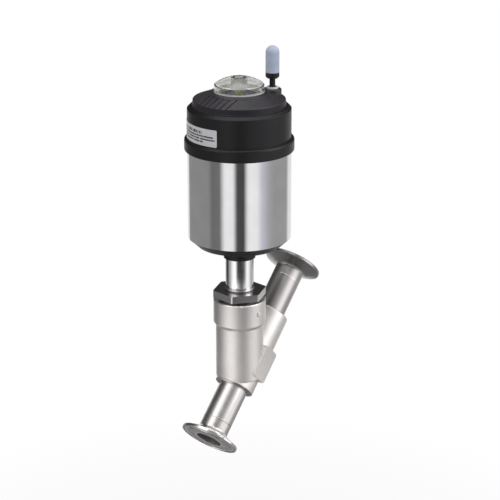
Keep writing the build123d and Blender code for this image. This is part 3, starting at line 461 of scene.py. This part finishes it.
def scored_plastic(name):
    """The top cover's plastic, with painted shade at the bottom of its scored grooves, where it reflects
    less.
    """
    s = black_plastic(name, base=0.026, rough=(0.36, 0.46))
    reaches = (CONE_FOOT[0] * MM, CONE_HEAD[0] * MM)
    heights = (dome_seat + CONE_FOOT[1] * MM, dome_seat + CONE_HEAD[1] * MM)
    slope = s.range(stem_distance(s), *reaches, *heights, clamp=False)
    depth = s.math("SUBTRACT", slope, s.part(s.point, "Z"))
    # Painted shade: the groove floors have a lower specular level.
    s.set(Specular_IOR_Level=s.range(depth, 0.15 * MM, 0.5 * MM, 0.5, 0.1))
    return s


def plain_plastic(name, colour, rough=(0.4, 0.5)):
    s = Shader(name)
    slow = s.noise(60.0, 3.0)
    fine = s.noise(800.0, 3.0)
    s.set(Base_Color=s.tones(slow, scaled(colour, 0.94), colour))
    s.set(Roughness=s.spread(fine, *rough), Normal=s.bump(fine, 0.05, 0.1))
    return s


def porous_plastic(name):
    """Sintered polyethylene: small grains with pores between them."""
    s = Shader(name)
    cells = s.node("ShaderNodeTexVoronoi")
    s.feed(cells.inputs["Vector"], s.point)
    s.feed(cells.inputs["Scale"], 1700.0)
    slow = s.noise(120.0, 3.0)
    s.set(Base_Color=s.tones(slow, (0.46, 0.53, 0.67), (0.53, 0.60, 0.75)), Roughness=0.85)
    s.set(Subsurface_Weight=0.15, Subsurface_Scale=0.001)
    s.set(Normal=s.bump(cells.outputs["Distance"], 0.5, 0.3))
    return s


def clear_plastic(name):
    """Moulded clear dome, a little cloudy, milky at its foot and in its lens."""
    foot_colour = (0.86, 0.86, 0.85)
    s = Shader(name)
    slow = s.noise(90.0, 3.0)
    height = s.part(s.point, "Z")
    foot = s.range(height, dome_seat + 0.6 * MM, dome_seat + 1.8 * MM, 1.0, 0.0)
    wall = s.tones(slow, (0.72, 0.72, 0.70), (0.84, 0.84, 0.82), low=0.25, high=0.75)
    below_roof = s.math("LESS_THAN", height, dome_seat + (DOME_HEIGHT - DOME_ROOF) * MM)
    lens = s.math("MULTIPLY", s.math("LESS_THAN", stem_distance(s), LENS_REACH * MM), below_roof)
    milky = s.math("MAXIMUM", foot, s.math("MULTIPLY", lens, 0.72))
    s.set(IOR=1.49, Base_Color=s.mix(foot, wall, foot_colour))
    s.set(Transmission_Weight=s.range(milky, 0.0, 1.0, 0.96, 0.15))
    s.set(Roughness=s.spread(slow, 0.01, 0.04), Normal=s.bump(slow, 0.05, 0.6))
    return s


def label_bar(s, along, up, height, half, start, stop, pitch, threshold):
    """One broken bar of the label: 1 where it has ink."""
    off = s.math("ABSOLUTE", s.math("SUBTRACT", up, height))
    bar = s.math("LESS_THAN", off, half)
    bar = s.math("MULTIPLY", bar, s.math("GREATER_THAN", along, start))
    bar = s.math("MULTIPLY", bar, s.math("LESS_THAN", along, stop))
    spot = s.node("ShaderNodeCombineXYZ")
    s.feed(spot.inputs["X"], s.math("MULTIPLY", along, 1.0 / pitch))
    s.feed(spot.inputs["Y"], height * BAR_APART)
    words = s.noise(1.0, 0.0, spot.outputs[0])
    return s.math("MULTIPLY", bar, s.math("GREATER_THAN", words, threshold))


def label_foil(name):
    """White label with plain grey bars where a label has its print."""
    ink_colour = (0.05, 0.047, 0.056)
    s = Shader(name)
    x = s.math("SUBTRACT", s.part(s.point, "X"), CROSS.x * MM)
    y = s.part(s.point, "Y")
    angle = s.math("ARCTAN2", s.math("MULTIPLY", y, -1.0), s.math("MULTIPLY", x, -1.0))
    turn = s.math("SUBTRACT", math.radians(LABEL_END - 180.0), angle)
    along = s.math("MULTIPLY", turn, LABEL_RADIUS)
    up = s.range(s.part(s.point, "Z"), level(LABEL_LOW), level(LABEL_HIGH))
    ink = label_bar(s, along, up, *LABEL_BARS[0])
    for bar in LABEL_BARS[1:]:
        ink = s.math("MAXIMUM", ink, label_bar(s, along, up, *bar))
    slow = s.noise(60.0, 3.0)
    paper = s.tones(slow, (0.70, 0.69, 0.72), (0.76, 0.75, 0.79))
    s.set(Base_Color=s.mix(ink, paper, ink_colour), Roughness=s.spread(slow, 0.32, 0.42))
    s.set(Normal=s.bump(slow, 0.03, 0.2, s.softened(0.2)))
    return s


# Hairlines: how fast they change along x, y and z, so that they run where it is slow
UPRIGHT = (500, 500, 20)
TURNED = (40, 40, 2500)
FINELY_TURNED = (40, 40, 4000)
MILLED = (60, 900, 60)
EVEN = (900, 900, 900)

# Materials
shell_steel = polished_steel("shell_steel", (0.83, 0.82, 0.835), (0.06, 0.12), UPRIGHT, 0.01)
neck_steel = polished_steel("neck_steel", (0.83, 0.82, 0.83), (0.06, 0.12), TURNED, 0.02)
tube_steel = pipe_steel("tube_steel", 0.97, (0.25, 0.30), flange_shade_tone=0.88, flange_polish=0.45)
# Painted shade: the outlet's tube and ferrule are a darker copy of the inlet's steel.
shaded_outlet_steel = pipe_steel("shaded_outlet_steel", 0.60, (0.35, 0.40), flange_shade_tone=0.30, flange_polish=0.75)
# Painted reflection: the nut's dark tint stands for the dark housing that it mirrors.
hex_steel = nut_steel("hex_steel", (0.42, 0.41, 0.412), (0.12, 0.20), MILLED, 0.05, edge=0.05)
weld_steel = polished_steel("weld_steel", (0.56, 0.53, 0.515), (0.28, 0.36), EVEN, 0.04)
cast_steel = blasted_steel("blasted_steel")
turned_steel = polished_steel("turned_steel", (0.66, 0.66, 0.67), (0.2, 0.34), FINELY_TURNED, 0.1)
bronze = polished_steel("bronze", (0.72, 0.52, 0.30), (0.25, 0.4), FINELY_TURNED, 0.1)
alloy = polished_steel("alloy", (0.82, 0.82, 0.84), (0.25, 0.38), FINELY_TURNED, 0.1)
black = black_plastic("black_plastic", base=0.007, gloss=0.32)
black_cover = scored_plastic("black_cover")
rubber = black_plastic("rubber", base=0.012, rough=(0.6, 0.75), grain=900.0)
clear = clear_plastic("clear_plastic")
white = plain_plastic("white_plastic", (0.88, 0.88, 0.88))
ptfe = plain_plastic("ptfe", (0.88, 0.88, 0.86), rough=(0.35, 0.45))
yellow = plain_plastic("yellow_plastic", (0.62, 0.66, 0.12))
porous = porous_plastic("porous_plastic")
label_white = label_foil("label_foil")

# The CAD nodes get their materials
looks = {
    "lower_cover": black,
    "actuator_housing": black,
    "top_cover": black_cover,
    "silencer_body": black,
    "silencer_washer": white,
    "silencer_element": porous,
    "indicator_dome": clear,
    "indicator_tip": yellow,
    "rating_label": label_white,
    "cylinder_shell": shell_steel,
    "neck_tube": neck_steel,
    "bonnet_nut": hex_steel,
    "valve_body": cast_steel,
    "inlet_tube": tube_steel,
    "outlet_tube": shaded_outlet_steel,
    "inlet_ferrule": tube_steel,
    "outlet_ferrule": shaded_outlet_steel,
    "bonnet_gasket": ptfe,
    "packing_support_ring": turned_steel,
    "packing_disc_springs": turned_steel,
    "packing_pressure_ring": turned_steel,
    "packing_v_rings": ptfe,
    "gland_bush": bronze,
    "gland_nut": turned_steel,
    "neck_snap_ring": turned_steel,
    "neck_seal": rubber,
    "lower_cover_seal": rubber,
    "rod_guide": turned_steel,
    "rod_bush": bronze,
    "rod_seal": rubber,
    "top_cover_seal": rubber,
    "dome_seal": rubber,
    "return_spring": turned_steel,
    "spindle": turned_steel,
    "plug_disc": turned_steel,
    "plug_retainer": turned_steel,
    "plug_pin": turned_steel,
    "piston_nut": turned_steel,
    "piston": alloy,
    "piston_seal": rubber,
    "seat_seal": ptfe,
    "piston_guide_ring": ptfe,
}
for name, look in looks.items():
    mesh = nodes[name].data
    mesh.materials.clear()
    mesh.materials.append(look.material)


# Ground and polished butt welds between the tubes and their ferrules, and the weld at the neck's foot
def weld(name, way, radius, middle, half, rise, wave, waves):
    """A low crown round a pipe or the neck, with its foot just inside the metal."""
    low = middle - half
    high = middle + half
    outline = [(radius - WELD_ROOT, low), (radius + WELD_LIP, low)]
    for step in range(1, WELD_STEPS):
        part = step / WELD_STEPS
        outline.append((radius + rise * math.sin(math.pi * part), low + 2 * half * part))
    outline += [(radius + WELD_LIP, high), (radius - WELD_ROOT, high)]
    added(lathe(name, outline, weld_steel, way, wave, waves), "valve")


weld("inlet_weld", INLET_WAY, TUBE_RADIUS, LEG - FERRULE, *TUBE_WELD)
weld("outlet_weld", PIPE_WAY, TUBE_RADIUS, OUTLET_LEG - FERRULE, *TUBE_WELD)
weld("neck_weld", STEM_WAY, NECK_RADIUS, HEX_TOP + FOOT_WELD[0], *FOOT_WELD)


# Return spring: the CAD spring once more, as a coil of its own that takes the hidden CAD one's place
def coil(foot, head):
    """Wire coiled about the stem's axis, its middle going from the foot to the head, both in metres."""
    climb = (head - foot) / (2 * math.pi * SPRING_TURNS)
    bm = bmesh.new()
    rings = []
    for step in range(SPRING_TURNS * SPRING_STEPS + 1):
        angle = 2 * math.pi * step / SPRING_STEPS
        out = Vector((math.cos(angle), math.sin(angle), 0.0))
        way = Vector((-out.y * SPRING_RADIUS * MM, out.x * SPRING_RADIUS * MM, climb)).normalized()
        over = way.cross(out)
        middle = Vector((CROSS.x * MM, 0.0, foot + climb * angle)) + out * SPRING_RADIUS * MM
        ring = []
        for side in range(WIRE_SIDES):
            turn = 2 * math.pi * side / WIRE_SIDES
            arm = (out * math.cos(turn) + over * math.sin(turn)) * SPRING_WIRE * MM
            ring.append(bm.verts.new(middle + arm))
        rings.append(ring)
    for below, above in zip(rings, rings[1:]):
        for side in range(WIRE_SIDES):
            after = (side + 1) % WIRE_SIDES
            bm.faces.new([below[side], above[side], above[after], below[after]])
    bm.faces.new(rings[0])
    bm.faces.new(rings[-1])
    bmesh.ops.recalc_face_normals(bm, faces=bm.faces)
    return bm


levels = [vert.co.z for vert in nodes["return_spring"].data.vertices]
wire_coil = coil(min(levels) + SPRING_WIRE * MM, max(levels) - SPRING_WIRE * MM)
spring = added(smooth(new_object("closing_spring", wire_coil, turned_steel)), "actuator")
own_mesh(spring)
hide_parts("return_spring")

# Camera, whose place, angles and lens were fitted to the outlines in the photograph
AZIMUTH = math.radians(-54.0)
PITCH = math.radians(18.85)
DISTANCE = 1.55
AIM_RIGHT = 8.9
AIM_UP = 114.3
SENSOR_WIDTH = 36.0
PHOTO_WIDTH_PIXELS = 500.0
FOCAL_PIXELS = 1828.0
right = Vector((math.cos(AZIMUTH), math.sin(AZIMUTH), 0.0))
away = Vector((-math.sin(AZIMUTH), math.cos(AZIMUTH), 0.0))
look_way = away * math.cos(PITCH) + Vector((0, 0, -math.sin(PITCH)))
camera_data = bpy.data.cameras.new("camera")
camera_data.sensor_fit = "HORIZONTAL"
camera_data.sensor_width = SENSOR_WIDTH
camera_data.lens = SENSOR_WIDTH * FOCAL_PIXELS / PHOTO_WIDTH_PIXELS
camera_data.clip_start = 0.1
camera_data.clip_end = 100.0
camera = bpy.data.objects.new("camera", camera_data)
scene.collection.objects.link(camera)
camera.location = at(*(right * AIM_RIGHT + Vector((0, 0, AIM_UP)))) - look_way * DISTANCE
camera.rotation_mode = "QUATERNION"
camera.rotation_quaternion = look_way.to_track_quat("-Z", "Y")
scene.camera = camera
scene.view_settings.view_transform = "Standard"


# Walls that gloss sees
def turn_share(n, way):
    """How far a direction is turned from the camera, clockwise from above, as a share of the full turn."""
    sideways = n.vector("DOT_PRODUCT", way, tuple(right))
    nearer = n.vector("DOT_PRODUCT", way, tuple(-away))
    return n.range(n.math("ARCTAN2", sideways, nearer), -math.pi, math.pi)


def walls(n, share, stops):
    """A ring of walls: pairs of the turn in degrees from the camera, clockwise, and a tone."""
    made = n.node("ShaderNodeValToRGB")
    made.color_ramp.interpolation = "LINEAR"
    elements = made.color_ramp.elements
    for angle, tone in stops[1:-1]:
        elements.new((angle + 180) / 360).color = (*tone, 1.0)
    elements[0].color = (*stops[0][1], 1.0)
    elements[-1].color = (*stops[-1][1], 1.0)
    n.feed(made.inputs["Fac"], share)
    return made.outputs["Color"]


# Floor: pale to the other pieces, and to the camera a white that grows with the distance from its middle
FLOOR_RADIUS = 0.60
FLOOR_DROP = 0.16
FADE_FROM = 0.10
FADE_TO = 0.42
MIDDLE_WHITENESS = 0.88
bm = bmesh.new()
bmesh.ops.create_circle(bm, cap_ends=True, segments=128, radius=FLOOR_RADIUS)
f = Shader("floor")
f.set(Roughness=0.9, Base_Color=f.tones(f.noise(3.0, 2.0), grey(0.39), grey(0.41)))
whiteness = f.range(f.vector("LENGTH", f.point), FADE_FROM, FADE_TO, MIDDLE_WHITENESS, 1.0)
rays = f.node("ShaderNodeLightPath")
shown = f.math("MAXIMUM", rays.outputs["Is Camera Ray"], rays.outputs["Is Transmission Ray"])
glow = f.light("ShaderNodeEmission", grey(1.0), 1.0)
f.show(f.blend(f.math("MULTIPLY", shown, whiteness), f.surface.outputs["BSDF"], glow))
f.material.cycles.emission_sampling = "NONE"
floor = new_object("floor", bm, f)
floor.location = (CROSS.x * MM, 0, cad_low.z - FLOOR_DROP)

# World: white to the camera and through the dome, light and dark walls to gloss, soft light otherwise
LAVENDER = (0.62, 0.61, 0.70)
SOFT_LIGHT = (1.0, 0.99, 0.985)
SOFT_STRENGTH = 0.45
HIGH_FROM = -0.22
HIGH_TO = -0.02
CEILING_FROM = 0.78
CEILING_TO = 0.90
LOW_WALLS = [
    (-180, grey(0.9)),
    (-152, grey(0.9)),
    (-144, grey(0.30)),
    (-72, grey(0.28)),
    (-62, grey(0.17)),
    (-44, grey(0.19)),
    (-33, grey(0.95)),
    (-26, grey(1.0)),
    (-14, grey(0.95)),
    (-5, grey(0.08)),
    (10, grey(0.07)),
    (19, grey(0.92)),
    (26, grey(1.0)),
    (40, grey(0.95)),
    (52, LAVENDER),
    (70, grey(0.42)),
    (84, grey(0.36)),
    (128, grey(0.36)),
    (140, grey(0.85)),
    (165, grey(0.85)),
    (180, grey(0.9)),
]
HIGH_WALLS = [
    (-180, grey(0.06)),
    (-105, grey(0.08)),
    (-86, grey(0.45)),
    (-72, grey(0.85)),
    (-38, grey(0.9)),
    (-12, grey(0.45)),
    (8, grey(0.26)),
    (34, grey(0.30)),
    (52, grey(0.85)),
    (64, grey(0.92)),
    (108, grey(0.92)),
    (128, grey(0.35)),
    (150, grey(0.06)),
    (180, grey(0.06)),
]
world = bpy.data.worlds.new("studio")
scene.world = world
world.use_nodes = True
w = Nodes(world.node_tree)
direction = w.node("ShaderNodeTexCoord").outputs["Generated"]
around = turn_share(w, direction)
rise = w.part(direction, "Z")
high_part = w.range(rise, HIGH_FROM, HIGH_TO, interpolation_type="SMOOTHSTEP")
ceiling_part = w.range(rise, CEILING_FROM, CEILING_TO, interpolation_type="SMOOTHSTEP")
wall_tone = w.mix(high_part, walls(w, around, LOW_WALLS), walls(w, around, HIGH_WALLS))
room = w.light("ShaderNodeBackground", w.mix(ceiling_part, wall_tone, grey(0.9)), 1.0)
soft_light = w.light("ShaderNodeBackground", SOFT_LIGHT, SOFT_STRENGTH)
backdrop = w.light("ShaderNodeBackground", grey(1.0), 1.0)
path = w.node("ShaderNodeLightPath")
seen = w.math("MAXIMUM", path.outputs["Is Camera Ray"], path.outputs["Is Transmission Ray"])
unseen = w.blend(path.outputs["Is Glossy Ray"], soft_light, room)
world_output = w.node("ShaderNodeOutputWorld")
w.feed(world_output.inputs["Surface"], w.blend(seen, unseen, backdrop))

# Cards: a low ring of light and dark reflectors that only gloss sees, round the body and the neck.
# Its tones go from those for the body to those for the neck between two heights from its foot
CARD_REACH = 0.25
CARD_HEIGHT = 0.150
CARD_FOOT = -115.0
CARD_STRENGTH = 1.6
NECK_FROM = 0.113
NECK_TO = 0.121
BODY_WALLS = [
    (-180, grey(0.68)),
    (-150, grey(0.41)),
    (-126, grey(0.056)),
    (-104, grey(0.094)),
    (-88, grey(0.2)),
    (-74, grey(0.43)),
    (-60, grey(0.72)),
    (-46, grey(1.0)),
    (-34, grey(1.0)),
    (-24, grey(0.92)),
    (-13, grey(0.54)),
    (2, grey(0.24)),
    (14, grey(0.12)),
    (22, grey(0.13)),
    (31, grey(0.31)),
    (38, grey(0.33)),
    (50, grey(0.62)),
    (60, grey(0.69)),
    (84, grey(0.66)),
    (102, grey(0.33)),
    (124, grey(0.29)),
    (150, grey(0.63)),
    (180, grey(0.68)),
]
NECK_WALLS = [
    (-180, grey(0.68)),
    (-150, grey(0.41)),
    (-126, grey(0.03)),
    (-104, grey(0.05)),
    (-88, grey(0.26)),
    (-74, grey(0.36)),
    (-60, grey(0.65)),
    (-46, grey(0.77)),
    (-34, grey(0.81)),
    (-24, grey(0.36)),
    (-14, grey(0.03)),
    (22, grey(0.03)),
    (34, grey(0.065)),
    (44, grey(0.18)),
    (54, grey(0.5)),
    (66, grey(0.75)),
    (84, grey(0.6)),
    (102, grey(0.3)),
    (124, grey(0.3)),
    (150, grey(0.53)),
    (180, grey(0.68)),
]
bm = bmesh.new()
bmesh.ops.create_circle(bm, cap_ends=False, segments=96, radius=CARD_REACH)
sweep = bmesh.ops.extrude_edge_only(bm, edges=bm.edges[:])
for vert in sweep["geom"]:
    if isinstance(vert, bmesh.types.BMVert):
        vert.co.z = CARD_HEIGHT
c = Shader("cards")
c.tree.nodes.remove(c.surface)
card_turn = turn_share(c, c.point)
neck_part = c.range(c.part(c.point, "Z"), NECK_FROM, NECK_TO)
card_tone = c.mix(neck_part, walls(c, card_turn, BODY_WALLS), walls(c, card_turn, NECK_WALLS))
card_light = c.light("ShaderNodeEmission", card_tone, CARD_STRENGTH)
nothing = c.node("ShaderNodeBsdfTransparent").outputs[0]
c.show(c.blend(c.node("ShaderNodeLightPath").outputs["Is Glossy Ray"], nothing, card_light))
c.material.cycles.emission_sampling = "NONE"
cards = new_object("cards", bm, c)
cards.location = at(0, 0, CARD_FOOT)


# Lamps
centre = at(0, 0, 120)


def lamp(name, place, size, power):
    """A rectangular lamp that faces the valve's centre, its size in metres and its power in watts."""
    data = bpy.data.lights.new(name, "AREA")
    data.shape = "RECTANGLE"
    data.size, data.size_y = size
    data.energy = power
    obj = bpy.data.objects.new(name, data)
    scene.collection.objects.link(obj)
    obj.location = place
    obj.rotation_mode = "QUATERNION"
    obj.rotation_quaternion = (centre - place).to_track_quat("-Z", "Y")


lamp("key", centre - away * 0.9 - right * 0.9 + Vector((0, 0, 1.0)), size=(1.2, 1.2), power=4.0)
lamp("fill", centre - away * 0.3 + right * 1.2 + Vector((0, 0, 0.5)), size=(0.9, 1.4), power=6.5)
lamp("top", centre + Vector((0, 0, 1.3)), size=(1.2, 1.2), power=6.0)
